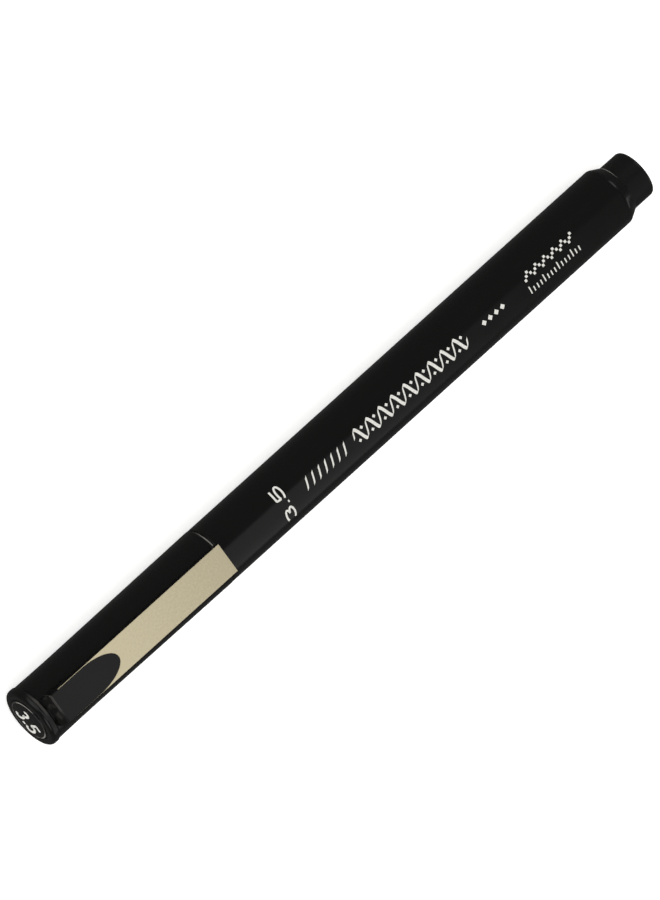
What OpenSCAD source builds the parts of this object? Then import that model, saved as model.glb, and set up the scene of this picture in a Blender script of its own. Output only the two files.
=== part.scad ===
// Broad-edge calligraphy marker, capped. The long axis runs along +X, cap at -X and tail at +X.
// The marker lies on z = 0 with its clip upwards, and x = 0 is halfway along it.
// A "station" is a distance along the axis, measured from the flat end of the cap.

/* [Overall] */
// Length of the capped marker
overall_l = 140; // [132:0.5:150]
// Width of the chisel nib, the size that the marker is sold by
nib_w = 3.5; // [2:0.1:3.5]

/* [Barrel] */
// Outside diameter of the barrel
barrel_d = 10.86; // [10.8:0.02:10.9]
// Bore that holds the ink reservoir
barrel_bore_d = 8.4; // [8.4:0.02:8.5]
// Neck that the cap pushes onto
neck_d = 8.7; // [8.66:0.01:8.74]
// Length of that neck
neck_l = 8.5; // [7:0.1:9]
// Length of the bevel at the tail
bevel_l = 1.8; // [1.4:0.1:2.4]
// Tail stub, the same diameter as the neck so that it can hold the cap
stub_d = 8.7; // [8.66:0.01:8.74]
// How far the tail stub stands out of the barrel
stub_l = 4.5; // [3.5:0.1:5.5]

/* [Cap] */
// Length of the cap with its crown
cap_l = 41.3; // [41:0.1:42.5]
// Largest diameter of the crown's ring
crown_d = 11.1; // [11:0.02:11.2]
// Diameter of the cap at its mouth
cap_mouth_d = 10.94; // [10.9:0.02:11]
// Diameter of the cap at its slimmest
cap_waist_d = 10.64; // [10.6:0.02:10.7]
// Bore of the cap
cap_bore_d = 8.8; // [8.78:0.01:8.84]
// Diameter of the size disc in the crown
disc_d = 8; // [7.6:0.1:8.2]

/* [Clip] */
// Width of the clip
clip_w = 5.56; // [5.2:0.02:5.6]
// Height of the clip's face over the marker's axis
clip_face_h = 7.15; // [7.1:0.01:7.3]
// Thickness of the clip with its strip
clip_t = 1.4; // [1.3:0.01:1.45]
// Thickness of the metal strip on the clip's face
strip_t = 0.25; // [0.2:0.01:0.3]
// Station of the tongue's rounded point
tongue_end = 16.2; // [15:0.1:20]

/* [Hidden] */
$fn = 96;

axis_z = crown_d / 2;
seat_gap = 0.1;               // between faces that close on each other
slip = 0.02;                  // between pieces that are pressed or slid together
barrel_front = cap_l + seat_gap;
neck_front = barrel_front - neck_l;
barrel_back = overall_l - stub_l;
edge_r = 0.15;                // softened moulded edge

neck_bore_d = neck_d - 1.5;
reservoir_front = barrel_front + 2.2;
reservoir_l = 80;
film_t = 0.1;
film_d = barrel_bore_d - 4 * slip;

crown_l = 1.7;                // visible length of the crown's ring
crown_plug_l = 1.2;           // part of the crown inside the tube
crown_front = 0.15;           // station of the ring's front, which the disc stands out of
crown_edge_r = 0.7;
recess_back = 0.95;           // station of the recess's floor
recess_d = disc_d + 0.1;
disc_bevel = 0.2;
waist_at = 10;                // station of the cap's slimmest point
root_d = 10.78;               // diameter of the cap beside the crown

inner_cap_front = crown_l + crown_plug_l + slip;
inner_cap_back = 17.8;
inner_cap_wall = 0.6;
nose_d = 5.8;                 // thick end of the holder's nose
nose_tip_d = 5.1;
nose_front = 13;
nose_back = 18;
grip_front_d = 6.5;
grip_back_d = 8.2;
shoulder_l = 0.9;
grip_grooves = 5;
grip_groove_pitch = 1.9;
grip_groove_depth = 0.12;
holder_flange_l = 1.2;
holder_plug_l = 7.4;
holder_bore_d = 4.6;

nib_t = 1.9;
nib_front = 8.4;
nib_back = reservoir_front + 5;
nib_edge_t = 0.35;            // thickness of the writing edge
nib_bevel_l = 2.2;
nib_gap = 0.05;

plug_front = reservoir_front + reservoir_l + seat_gap;
plug_wall = 0.9;
plug_slits = 2;
stub_edge_r = 0.6;

clip_root = 1.9;              // station where the clip starts
clip_tip = cap_l - 0.15;
clip_slope_l = 1.0;           // rise from the crown to the clip's face
root_block_end = 6.5;         // where the clip leaves the cap
root_lift_end = 9.5;
clip_under_h = clip_face_h - clip_t;
clip_body_h = clip_face_h - strip_t;
root_clear = 0.05;
sliver = 0.1;                 // strip that shows beside the tongue
tongue_proud = 0.05;
tongue_round_l = 6.5;         // length of the tongue's rounded point
strip_root = 4.6;
tab_front = 3.2;
tab_l = 1.6;
tab_w = 3;
tab_clear = 0.14;
tab_lift = 0.12;               // tab's end over the cap's bore
tab_root_depth = 0.3;          // how far the tab is rooted in the clip
nub_at = 39.3;                // contact nub under the clip's tip
nub_w = 3;

function arc(cr, cs, r, a0, a1, n = 8) =
    [for (i = [0:n]) let (a = a0 + (a1 - a0) * i / n) [cr + r * cos(a), cs + r * sin(a)]];

// Radius of the cap's outside at a station: slimmest at the waist, growing to the mouth
function cap_r(s) =
    s < waist_at
        ? cap_waist_d / 2 + (root_d - cap_waist_d) / 2 * pow((waist_at - s) / (waist_at - crown_l), 2)
        : cap_waist_d / 2 + (cap_mouth_d - cap_waist_d) / 2 * (s - waist_at) / (cap_l - waist_at);

module at_station(s = 0) {
    translate([s - overall_l / 2, 0, axis_z]) children();
}

// A body turned about the marker's axis, from points [radius, station]
module turned(points) {
    at_station() rotate([0, 90, 0]) rotate_extrude() polygon(points);
}

// A bar across the marker, from a side outline of points [station, height over the axis]
module side_bar(points, width) {
    at_station() rotate([90, 0, 0]) linear_extrude(width, center = true) polygon(points);
}

module drill(d, from, to) {
    at_station(from) rotate([0, 90, 0]) cylinder(d = d, h = to - from);
}

module slot(w, t, from, to) {
    at_station(from) translate([0, -w / 2, -t / 2]) cube([to - from, w, t]);
}

module barrel() {
    color([0.04, 0.04, 0.042])
    turned(concat(
        [[neck_bore_d / 2, neck_front], [neck_d / 2 - 0.25, neck_front], [neck_d / 2, neck_front + 0.4],
         [neck_d / 2, barrel_front]],
        arc(barrel_d / 2 - edge_r, barrel_front + edge_r, edge_r, -90, 0, 4),
        arc(barrel_d / 2 - 0.8, barrel_back - bevel_l - 0.35, 0.8, 0, 30, 4),
        [[stub_d / 2 + 0.12, barrel_back], [barrel_bore_d / 2, barrel_back],
         [barrel_bore_d / 2, reservoir_front - 0.4], [neck_bore_d / 2, reservoir_front - 0.7]]));
}

// Grip and nose: grooves round the grip, a slot through the nose for the nib
module nib_holder() {
    grip_front = nose_back + shoulder_l;
    grip_back = neck_front - holder_flange_l;
    groove_from = grip_front + 2;
    function grip_r(s) =
        grip_front_d / 2 + (grip_back_d - grip_front_d) / 2 * (s - grip_front) / (grip_back - grip_front);
    color([0.05, 0.05, 0.052])
    difference() {
        turned(concat(
            [[0, nose_front], [nose_tip_d / 2 - 0.3, nose_front], [nose_tip_d / 2, nose_front + 0.3],
             [nose_d / 2, nose_back], [grip_front_d / 2, grip_front]],
            [for (i = [0:grip_grooves - 1], step = [0:3])
                let (s = groove_from + i * grip_groove_pitch + [0, 0.25, 0.75, 1][step])
                [grip_r(s) - (step == 1 || step == 2 ? grip_groove_depth : 0), s]],
            [[grip_back_d / 2, grip_back], [neck_d / 2 - 0.1, grip_back + 0.2],
             [neck_d / 2 - 0.1, neck_front - seat_gap], [neck_bore_d / 2 - slip, neck_front - seat_gap],
             [neck_bore_d / 2 - slip, neck_front + holder_plug_l - 0.4],
             [neck_bore_d / 2 - 0.4, neck_front + holder_plug_l], [0, neck_front + holder_plug_l]]));
        slot(nib_w + 2 * nib_gap, nib_t + 2 * nib_gap, nose_front - 1, grip_front + 2);
        drill(holder_bore_d, grip_front + 1, neck_front + holder_plug_l + 1);
    }
}

// Felt bar with a two-sided chisel edge at the front and a wedge end that enters the reservoir
module nib() {
    color([0.06, 0.06, 0.065])
    side_bar([
        [nib_front, -nib_edge_t / 2], [nib_front + nib_bevel_l, -nib_t / 2], [nib_back - 2, -nib_t / 2],
        [nib_back, -0.3], [nib_back, 0.3], [nib_back - 2, nib_t / 2],
        [nib_front + nib_bevel_l, nib_t / 2], [nib_front, nib_edge_t / 2]], nib_w);
}

module reservoir_core() {
    color([0.16, 0.16, 0.17])
    difference() {
        drill(film_d - 2 * film_t - slip, reservoir_front, reservoir_front + reservoir_l);
        slot(nib_w + 2 * nib_gap, nib_t + 2 * nib_gap, reservoir_front - 1, nib_back + nib_gap);
    }
}

module reservoir_film() {
    color([0.86, 0.87, 0.88])
    difference() {
        drill(film_d, reservoir_front, reservoir_front + reservoir_l);
        drill(film_d - 2 * film_t, reservoir_front - 1, reservoir_front + reservoir_l + 1);
    }
}

// Stub outside, hollow slit plug inside
module tail_plug() {
    plug_r = barrel_bore_d / 2 - slip;
    color([0.05, 0.05, 0.052])
    difference() {
        turned(concat(
            [[plug_r - plug_wall, plug_front], [plug_r - 0.3, plug_front], [plug_r, plug_front + 0.6],
             [plug_r, barrel_back + slip], [stub_d / 2, barrel_back + slip]],
            arc(stub_d / 2 - stub_edge_r, overall_l - stub_edge_r, stub_edge_r, 0, 90, 8),
            [[1.5, overall_l], [1.3, overall_l - 0.3], [0, overall_l - 0.3],
             [0, barrel_back - 0.8], [plug_r - plug_wall, barrel_back - 0.8]]));
        for (turn = [0:plug_slits - 1])
            at_station(plug_front - 1) rotate([turn * 180 / plug_slits, 0, 0])
                translate([0, -0.6, -barrel_bore_d]) cube([6, 1.2, 2 * barrel_bore_d]);
    }
}

module cap_tube() {
    steps = 8;
    color([0.04, 0.04, 0.042])
    difference() {
        turned(concat(
            [[cap_bore_d / 2, crown_l + slip]],
            [for (i = [0:steps]) let (s = crown_l + slip + (waist_at - crown_l - slip) * i / steps) [cap_r(s), s]],
            arc(cap_mouth_d / 2 - edge_r, cap_l - edge_r, edge_r, 0, 90, 4),
            [[cap_bore_d / 2 + 0.15, cap_l], [cap_bore_d / 2, cap_l - 0.3]]));
        clip_tab(tab_clear);
    }
}

// End piece that closes the tube, with a ring outside and a recess for the size disc
module cap_crown() {
    ring_r = crown_d / 2;
    color([0.05, 0.05, 0.052])
    turned(concat(
        [[0, recess_back], [recess_d / 2, recess_back], [recess_d / 2, crown_front]],
        arc(ring_r - crown_edge_r, crown_front + crown_edge_r, crown_edge_r, -90, 0, 8),
        arc(ring_r - 0.35, crown_l - 0.35, 0.35, 0, 70, 4),
        [[cap_bore_d / 2 - slip, crown_l], [cap_bore_d / 2 - slip, crown_l + crown_plug_l - 0.2],
         [cap_bore_d / 2 - 0.22, crown_l + crown_plug_l], [0, crown_l + crown_plug_l]]));
}

module size_disc() {
    color([0.05, 0.05, 0.052])
    turned([[0, 0], [disc_d / 2 - disc_bevel, 0], [disc_d / 2, disc_bevel], [disc_d / 2, recess_back],
            [0, recess_back]]);
}

// Cup that closes round the holder's nose and keeps the ink from drying
module inner_cap() {
    outer_r = cap_bore_d / 2 - slip;
    bore_r = nose_d / 2 + 0.12;
    color([0.72, 0.72, 0.7])
    turned([[0, inner_cap_front], [outer_r, inner_cap_front], [outer_r, inner_cap_front + 2.5],
            [bore_r + inner_cap_wall, inner_cap_front + 3.2], [bore_r + inner_cap_wall, inner_cap_back - 1.4],
            [outer_r, inner_cap_back - 1], [outer_r, inner_cap_back], [bore_r + 0.15, inner_cap_back],
            [bore_r, inner_cap_back - 0.4], [bore_r, inner_cap_front + 0.6], [0, inner_cap_front + 0.6]]);
}

// Tab under the clip's root. With a clearance it is the slot that the tab needs in the cap.
module clip_tab(clear = 0) {
    low = cap_bore_d / 2 + (clear > 0 ? -clear : tab_lift);
    at_station(tab_front - clear)
        translate([0, -tab_w / 2 - clear, low])
            cube([tab_l + 2 * clear, tab_w + 2 * clear, root_d / 2 + tab_root_depth - low]);
}

// Outline of the tongue as seen from over the clip
module tongue_outline(grow = 0) {
    half_w = clip_w / 2 - sliver + grow;
    round_from = tongue_end - tongue_round_l;
    points = [for (i = [0:24]) let (a = 90 - 180 * i / 24)
        [round_from + (tongue_round_l + grow) * cos(a), half_w * sin(a)]];
    polygon(concat([[clip_root + clip_slope_l, -half_w], [clip_root + clip_slope_l, half_w]], points));
}

// Black moulded clip: saddle root with a tab into the cap, straight arm, raised tongue and a nub at the tip
module clip() {
    nub_r = 0.8;
    nub_h = cap_r(nub_at) + 0.03;
    color([0.06, 0.06, 0.062]) {
        difference() {
            union() {
                side_bar([
                    [clip_root, root_d / 2 - 1], [clip_root, root_d / 2 + 0.2],
                    [clip_root + clip_slope_l, clip_body_h], [clip_tip, clip_body_h],
                    [clip_tip, clip_under_h + 0.3], [clip_tip - 0.3, clip_under_h],
                    [root_lift_end, clip_under_h], [root_block_end, root_d / 2 - 1]], clip_w);
                at_station() translate([0, 0, clip_body_h - 0.01])
                    linear_extrude(strip_t + tongue_proud + 0.01) tongue_outline();
                intersection() {
                    at_station(nub_at) translate([0, 0, nub_h + nub_r]) rotate([90, 0, 0])
                        cylinder(r = nub_r, h = nub_w, center = true);
                    at_station(nub_at - nub_r) translate([0, -nub_w / 2, nub_h - 0.1])
                        cube([2 * nub_r, nub_w, clip_under_h - nub_h + 0.2]);
                }
            }
            drill(root_d + 2 * root_clear, clip_root - 1, clip_tip + 1);
        }
        clip_tab();
    }
}

// Champagne metal strip bonded to the clip's face, cut out round the tongue
module clip_strip() {
    color([0.76, 0.72, 0.6])
    at_station() translate([0, 0, clip_body_h]) linear_extrude(strip_t)
        difference() {
            translate([strip_root, -clip_w / 2]) square([clip_tip - strip_root, clip_w]);
            tongue_outline(slip);
        }
}

barrel();
nib_holder();
nib();
reservoir_core();
reservoir_film();
tail_plug();
cap_tube();
cap_crown();
size_disc();
inner_cap();
clip();
clip_strip();
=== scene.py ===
import math

import bmesh
import bpy
from bpy.props import FloatProperty, FloatVectorProperty, IntProperty, PointerProperty
from mathutils import Matrix, Vector


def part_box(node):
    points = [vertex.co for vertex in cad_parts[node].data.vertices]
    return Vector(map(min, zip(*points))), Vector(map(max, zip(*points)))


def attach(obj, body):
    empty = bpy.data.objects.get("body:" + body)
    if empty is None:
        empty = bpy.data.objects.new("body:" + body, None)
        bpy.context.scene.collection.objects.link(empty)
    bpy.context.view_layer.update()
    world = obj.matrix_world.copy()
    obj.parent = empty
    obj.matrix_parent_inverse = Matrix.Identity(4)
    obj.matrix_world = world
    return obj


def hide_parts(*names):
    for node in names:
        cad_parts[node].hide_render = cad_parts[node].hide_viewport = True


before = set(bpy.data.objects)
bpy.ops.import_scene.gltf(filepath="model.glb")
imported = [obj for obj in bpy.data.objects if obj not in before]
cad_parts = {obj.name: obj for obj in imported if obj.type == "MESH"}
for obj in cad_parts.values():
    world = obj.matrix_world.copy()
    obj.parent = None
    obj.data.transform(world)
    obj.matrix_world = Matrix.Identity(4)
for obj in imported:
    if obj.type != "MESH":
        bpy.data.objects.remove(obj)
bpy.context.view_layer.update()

bl_info = {
    "name": "Calligraphy Marker",
    "version": (1, 0, 0),
    "blender": (4, 5, 0),
    "location": "View3D > Sidebar > Marker",
    "description": "Builds a broad-edge calligraphy marker round its packed CAD frame",
    "category": "Add Mesh",
}

SEGMENTS = 160
SLIP = 0.00002                    # between pieces that are pressed together
PALE_DUST_AND_HIGHLIGHT = (0.28, 0.27, 0.25)    # colour of dust, and of the painted highlights and pale patches on the black plastic

# Corners of the imported pieces, which the finer pieces keep to. X runs from the cap to the tail.
CROWN_LOW, CROWN_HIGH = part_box("cap_crown")
TUBE_LOW, TUBE_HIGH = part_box("cap_tube")
BARREL_LOW, BARREL_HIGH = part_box("barrel")
HOLDER_LOW, HOLDER_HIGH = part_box("nib_holder")
NIB_LOW, NIB_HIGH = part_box("nib")
PLUG_LOW, PLUG_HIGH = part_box("tail_plug")
DISC_LOW, DISC_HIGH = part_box("size_disc")
CUP_LOW, CUP_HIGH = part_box("inner_cap")
CLIP_LOW, CLIP_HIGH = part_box("clip")
STRIP_LOW, STRIP_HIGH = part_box("clip_strip")
INK_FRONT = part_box("reservoir_core")[0].x
AXIS_Z = (CROWN_LOW.z + CROWN_HIGH.z) / 2
CAP_END = DISC_LOW.x
MOUTH = TUBE_HIGH.x


def length(name, description, default):
    """A length property, in metres, shown in the scene's units."""
    return FloatProperty(name=name, description=description, default=default, min=0.0,
                         precision=5, unit="LENGTH", subtype="DISTANCE")


def colour(name, description, default):
    """A linear RGB colour property."""
    return FloatVectorProperty(name=name, description=description, default=default, size=3,
                               min=0.0, max=1.0, subtype="COLOR")


def angle(name, description, degrees):
    """An angle property, given in degrees and kept in radians."""
    return FloatProperty(name=name, description=description, default=math.radians(degrees),
                         unit="ROTATION", subtype="ANGLE")


def factor(name, description, default):
    """A property between 0 and 1."""
    return FloatProperty(name=name, description=description, default=default, min=0.0, max=1.0,
                         subtype="FACTOR")


def number(name, description, default):
    """A property that is a plain number."""
    return FloatProperty(name=name, description=description, default=default, min=0.0)


def whole(name, description, default, most=20):
    """A property that counts something."""
    return IntProperty(name=name, description=description, default=default, min=0, max=most)


class BarrelSettings(bpy.types.PropertyGroup):
    """Sizes of the barrel, the tail stub and the grip section."""
    radius: length("Barrel radius", "Outside radius of the barrel", (BARREL_HIGH.z - BARREL_LOW.z) / 2)
    seat_gap: length("Seat gap", "Gap between faces that close on each other", 0.0001)
    neck_radius: length("Neck radius", "Radius of the neck that the cap pushes onto", 0.00435)
    neck_bore: length("Neck bore", "Bore radius of the neck", 0.0036)
    bore: length("Bore radius", "Radius of the bore that holds the ink reservoir", 0.0042)
    front_edge: length("Front edge", "Rounding of the edge that meets the cap", 0.00012)
    bevel: length("Tail bevel", "Length of the bevel at the tail", 0.0018)
    bevel_round: length("Bevel rounding", "Rounding where the barrel turns into its bevel", 0.0011)
    tail_lip: length("Tail lip", "Width of the barrel's end face round the stub", 0.00012)
    stub_radius: length("Stub radius", "Radius of the tail stub", 0.00435)
    stub_edge: length("Stub edge", "Rounding of the stub's end", 0.0006)
    plug_wall: length("Plug wall", "Wall of the plug inside the barrel", 0.0009)
    slit_width: length("Slit width", "Width of the slits in that plug", 0.0012)
    slit_length: length("Slit length", "Length of the slits in that plug", 0.005)
    nose_length: length("Nose length", "Length of the nose that holds the nib", 0.005)
    nose_tip: length("Nose tip radius", "Radius of the nose at its tip", 0.00255)
    nose_radius: length("Nose radius", "Radius of the nose next to the grip", 0.0029)
    shoulder: length("Shoulder length", "Length of the step from the nose to the grip", 0.0009)
    holder_bore: length("Holder bore", "Bore radius behind the nib's slot", 0.0023)
    flange: length("Flange length", "Length of the flange that seats on the neck", 0.0012)
    grip_front: length("Grip front radius", "Radius of the grip next to the nose", 0.00325)
    grip_back: length("Grip back radius", "Radius of the grip next to the barrel", 0.0041)
    groove_depth: length("Groove depth", "Depth of the grooves round the grip", 0.00012)
    groove_pitch: length("Groove pitch", "Distance from one groove to the next", 0.0019)
    first_groove: length("First groove", "Distance of the first groove from the grip's front", 0.002)
    grooves: whole("Grooves", "Number of grooves round the grip", 5, 6)


class CapSettings(bpy.types.PropertyGroup):
    """Sizes of the cap, its crown, its size disc and the cup inside it."""
    bore: length("Cap bore", "Radius of the cap's bore", 0.0044)
    root_radius: length("Root radius", "Radius of the cap beside the crown", 0.00539)
    waist_radius: length("Waist radius", "Radius of the cap at its slimmest", 0.00532)
    waist_at: length("Waist distance", "Distance of the slimmest point from the cap's end", 0.010)
    mouth_edge: length("Mouth edge", "Rounding of the cap's mouth", 0.00018)
    crown_length: length("Crown length", "Length of the crown's ring", 0.0017)
    crown_edge: length("Crown edge", "Rounding of the crown's outer edge", 0.0007)
    disc_gap: length("Disc gap", "Gap between the size disc and its recess", 0.00005)
    disc_edge: length("Disc edge", "Rounding of the size disc's edge", 0.0003)
    cup_bore: length("Cup bore", "Radius of the cup that closes round the nose", 0.00302)
    cup_wall: length("Cup wall", "Wall of that cup", 0.0006)
    cup_seat: length("Cup seat", "Length of the cup's front end that fits the bore", 0.0025)


class ClipSettings(bpy.types.PropertyGroup):
    """Sizes of the clip, its tongue and its metal strip."""
    thickness: length("Clip thickness", "Thickness of the clip with its strip", 0.0014)
    root_low: length("Root underside", "Height of the root's underside over the axis", 0.00439)
    root_high: length("Root front", "Height over the axis at which the slope starts", 0.00559)
    slope: length("Slope length", "Length of the rise from the crown to the clip's face", 0.001)
    block_end: length("Root length", "Distance of the root's end from the cap's end", 0.0065)
    lift_end: length("Lift length", "Distance at which the arm is clear of the cap", 0.0095)
    saddle: length("Saddle radius", "Radius of the hollow that sits on the cap", 0.00544)
    edge: length("Clip edge", "Rounding of the clip's long edges", 0.00012)
    tongue_end: length("Tongue point", "Distance of the tongue's point from the cap's end", 0.0162)
    tongue_round: length("Tongue rounding", "Length of the tongue's rounded point", 0.0065)
    tongue_proud: length("Tongue height", "Height of the tongue over the strip", 0.00005)
    sliver: length("Strip sliver", "Strip that shows on each side of the tongue", 0.00003)
    strip_margin: length("Strip margin", "Plastic that shows on each side of the strip", 0.00007)
    nub_radius: length("Nub radius", "Radius of the contact nub under the clip's tip", 0.0008)
    nub_width: length("Nub width", "Width of that nub", 0.003)
    nub_at: length("Nub distance", "Distance of the nub from the clip's tip", 0.00185)
    tab_at: length("Tab distance", "Distance of the tab from the cap's end", 0.0032)
    tab_length: length("Tab length", "Length of the tab that holds the clip in the cap", 0.0016)
    tab_width: length("Tab width", "Width of that tab", 0.003)
    tab_clear: length("Tab clearance", "Gap round the tab in the cap's slot", 0.00014)


class NibSettings(bpy.types.PropertyGroup):
    """Sizes of the chisel nib."""
    edge_thickness: length("Writing edge", "Thickness of the writing edge", 0.00035)
    bevel: length("Nib bevel", "Length of the two slopes that form the edge", 0.0022)
    fuzz: length("Felt fuzz", "Height of the unevenness of the felt", 0.00003)


class PrintSettings(bpy.types.PropertyGroup):
    """Sizes and places of the white print. Distances run from the cap's mouth towards the tail."""
    film: length("Ink film", "Thickness of the printed ink over the plastic", 0.00002)
    line: length("Line width", "Width of a thin printed line", 0.00034)
    number_at: length("Number distance", "Distance of the size number from the mouth", 0.0129)
    number_height: length("Number height", "Height of the size number's figures", 0.0018)
    number_stretch: number("Number stretch", "Width of its figures over their drawn width", 2.5)
    number_step: number("Number step", "Distance between its 3 and 5, in figure heights", 2.26)
    strokes_at: length("Strokes distance", "Distance of the row of pen strokes from the mouth", 0.0186)
    border_at: length("Border distance", "Distance of the pen-drawn border from the mouth", 0.0300)
    border_length: length("Border length", "Length of the pen-drawn border", 0.0258)
    diamonds_at: length("Diamonds distance", "Distance of the row of diamonds from the mouth", 0.0593)
    ladder_at: length("Ladder distance", "Distance of the nib-width ladder from the mouth", 0.0698)
    ladder_length: length("Ladder length", "Length of the nib-width ladder", 0.0118)
    disc_height: length("Disc figure height", "Height of the figures on the size disc", 0.0035)
    disc_line: length("Disc line width", "Line width of the figures on the size disc", 0.00053)
    disc_stretch: number("Disc stretch", "Width of its figures over their drawn width", 0.73)
    disc_step: number("Disc step", "Distance between its 3 and 5, in figure heights", 0.82)
    disc_drop: length("Disc drop", "How far the figures sit under the disc's middle", 0.0007)
    disc_shift: length("Disc shift", "How far the figures sit to one side of the disc's middle", 0.0003)


class FinishSettings(bpy.types.PropertyGroup):
    """Colours and gloss of the materials."""
    black: colour("Black plastic", "Colour of the glossy black plastic", (0.0030, 0.0030, 0.0028))
    black_gloss: factor("Black roughness", "Roughness of the glossy black plastic", 0.2)
    satin_black: colour("Satin black", "Colour of the grip and the tail plug", (0.0034, 0.0034, 0.0032))
    champagne: colour("Champagne foil", "Colour of the metal strip", (0.62, 0.545, 0.37))
    champagne_rough: factor("Foil roughness", "Roughness of the metal strip", 0.42)
    ink_white: colour("White ink", "Colour of the print", (0.72, 0.71, 0.67))
    felt: colour("Inked felt", "Colour of the ink-soaked nib", (0.006, 0.006, 0.0075))
    fibre: colour("Inked fibre", "Colour of the reservoir's fibre", (0.02, 0.02, 0.024))
    cup: colour("Cup plastic", "Colour of the cup inside the cap", (0.55, 0.55, 0.52))
    floor: colour("Floor", "Colour of the floor", (0.9, 0.9, 0.89))


class StageSettings(bpy.types.PropertyGroup):
    """Camera and lights."""
    tilt: angle("Tilt", "How far the marker's axis leans out of the picture plane", 20.0)
    turn: angle("Turn", "How far the clip is turned away from the camera", 16.9)
    roll: angle("Roll", "How steeply the marker climbs across the picture", 42.08)
    lens: number("Lens", "Focal length of the camera, in millimetres", 800.0)
    view_height: length("View height", "Height of the view at the marker", 0.1448)
    aim_back: length("Aim", "How far towards the cap the camera aims from the middle", 0.00118)
    aim_side: length("Side aim", "How far to the clip's side the camera aims", 0.00022)
    card_distance: length("Card distance", "Distance of the curved cards round the marker", 0.6)
    softbox_glow: number("Softbox glow", "Brightness of the broad softbox", 0.47)
    key_glow: number("Key glow", "Brightness of the card over the cap's end", 1.6)
    wing_glow: number("Wing glow", "Brightness of the cards that light the views from all round", 1.0)
    left_glow: number("Left glow", "Brightness of the card beside the cap, on the side of +Y", 0.6)
    floor_glow: number("Floor glow", "Light that comes up through the floor", 0.42)
    room_glow: number("Room glow", "Brightness of the room's light", 1.25)
    room_gloss: number("Room in reflections", "Brightness of the room as glossy surfaces see it", 0.085)


# ---------------------------------------------------------------- mesh helpers

def make_object(name, mesh):
    """Puts a mesh into the scene."""
    piece = bpy.data.objects.new(name, mesh)
    bpy.context.scene.collection.objects.link(piece)
    return piece


def mesh_from(name, bm):
    """Turns a bmesh into a mesh with its faces outwards."""
    bmesh.ops.recalc_face_normals(bm, faces=bm.faces)
    mesh = bpy.data.meshes.new(name)
    bm.to_mesh(mesh)
    bm.free()
    return mesh


def rounded(corners, steps=5):
    """A closed outline from (x, y, radius) corners, with an arc at each corner that has a radius."""
    outline = []
    count = len(corners)
    for i, (x, y, radius) in enumerate(corners):
        here = Vector((x, y))
        if not radius:
            outline.append(here)
            continue
        back = Vector(corners[i - 1][:2]) - here
        ahead = Vector(corners[(i + 1) % count][:2]) - here
        half = back.angle(ahead) / 2
        reach = radius / math.tan(half)
        start = here + back.normalized() * reach
        end = here + ahead.normalized() * reach
        centre = here + (back.normalized() + ahead.normalized()).normalized() * (reach / math.cos(half))
        first = start - centre
        sweep = first.angle_signed(end - centre)
        for step in range(steps + 1):
            outline.append(centre + Matrix.Rotation(-sweep * step / steps, 2) @ first)
    return outline


def lathe(name, corners, segments=SEGMENTS):
    """A body turned about the marker's axis, from (x, radius, rounding) corners."""
    bm = bmesh.new()
    rings = []
    for x, radius in rounded(corners):
        if radius < 1e-8:
            rings.append([bm.verts.new((x, 0.0, AXIS_Z))])
            continue
        turns = [2 * math.pi * i / segments for i in range(segments)]
        rings.append([bm.verts.new((x, radius * math.sin(a), AXIS_Z + radius * math.cos(a))) for a in turns])
    for ring, after in zip(rings, rings[1:] + rings[:1]):
        if len(ring) == 1 and len(after) == 1:
            continue
        for i in range(segments):
            j = (i + 1) % segments
            around = [ring[i % len(ring)], ring[j % len(ring)], after[j % len(after)], after[i % len(after)]]
            bm.faces.new(list(dict.fromkeys(around)))
    return make_object(name, mesh_from(name, bm))


def rod(name, start, end, radius, segments):
    """A plain round rod on the marker's axis, used to cut other pieces."""
    corners = [(start, 0.0, 0.0), (start, radius, 0.0), (end, radius, 0.0), (end, 0.0, 0.0)]
    return lathe(name, corners, segments)


def prism(name, outline, near, far, place):
    """A solid between two copies of an outline. place(u, v, w) gives a point's position."""
    bm = bmesh.new()
    lower = [bm.verts.new(place(u, v, near)) for u, v in outline]
    upper = [bm.verts.new(place(u, v, far)) for u, v in outline]
    bm.faces.new(lower)
    bm.faces.new(list(reversed(upper)))
    count = len(outline)
    for i in range(count):
        j = (i + 1) % count
        bm.faces.new((lower[i], upper[i], upper[j], lower[j]))
    return make_object(name, mesh_from(name, bm))


def across(u, v, w):
    """Places an (x, height over the axis) outline, w metres across the marker."""
    return (u, w, AXIS_Z + v)


def upwards(u, v, w):
    """Places an (x, y) outline at height w."""
    return (u, v, w)


def block(name, low, high):
    """A box, used to cut other pieces."""
    corners = [(low[0], low[1]), (high[0], low[1]), (high[0], high[1]), (low[0], high[1])]
    return prism(name, corners, low[2], high[2], upwards)


def settle(piece):
    """Applies a piece's modifiers to its mesh."""
    graph = bpy.context.evaluated_depsgraph_get()
    mesh = bpy.data.meshes.new_from_object(piece.evaluated_get(graph))
    piece.modifiers.clear()
    piece.data = mesh


def combine(piece, tool, operation):
    """Cuts a tool out of a piece or joins it on, and removes the tool."""
    boolean = piece.modifiers.new("combine", "BOOLEAN")
    boolean.operation = operation
    boolean.solver = "EXACT"
    boolean.object = tool
    settle(piece)
    bpy.data.objects.remove(tool)


def soften(piece, width, segments=3):
    """Rounds a piece's sharp edges."""
    bevel = piece.modifiers.new("edges", "BEVEL")
    bevel.width = width
    bevel.segments = segments
    bevel.limit_method = "ANGLE"
    bevel.angle_limit = math.radians(30)
    bevel.use_clamp_overlap = True
    settle(piece)


def finish_piece(piece, material, body, slot, *nodes):
    """Shades a piece, gives it its material and lets it ride on its body in place of its CAD nodes."""
    piece.data.shade_smooth()
    piece.data.set_sharp_from_angle(angle=math.radians(34))
    normals = piece.modifiers.new("normals", "WEIGHTED_NORMAL")
    normals.keep_sharp = True
    piece.data.materials.clear()
    piece.data.materials.append(material)
    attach(piece, body)
    if nodes:
        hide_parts(*nodes)
    return piece


# ---------------------------------------------------------------- materials

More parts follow.
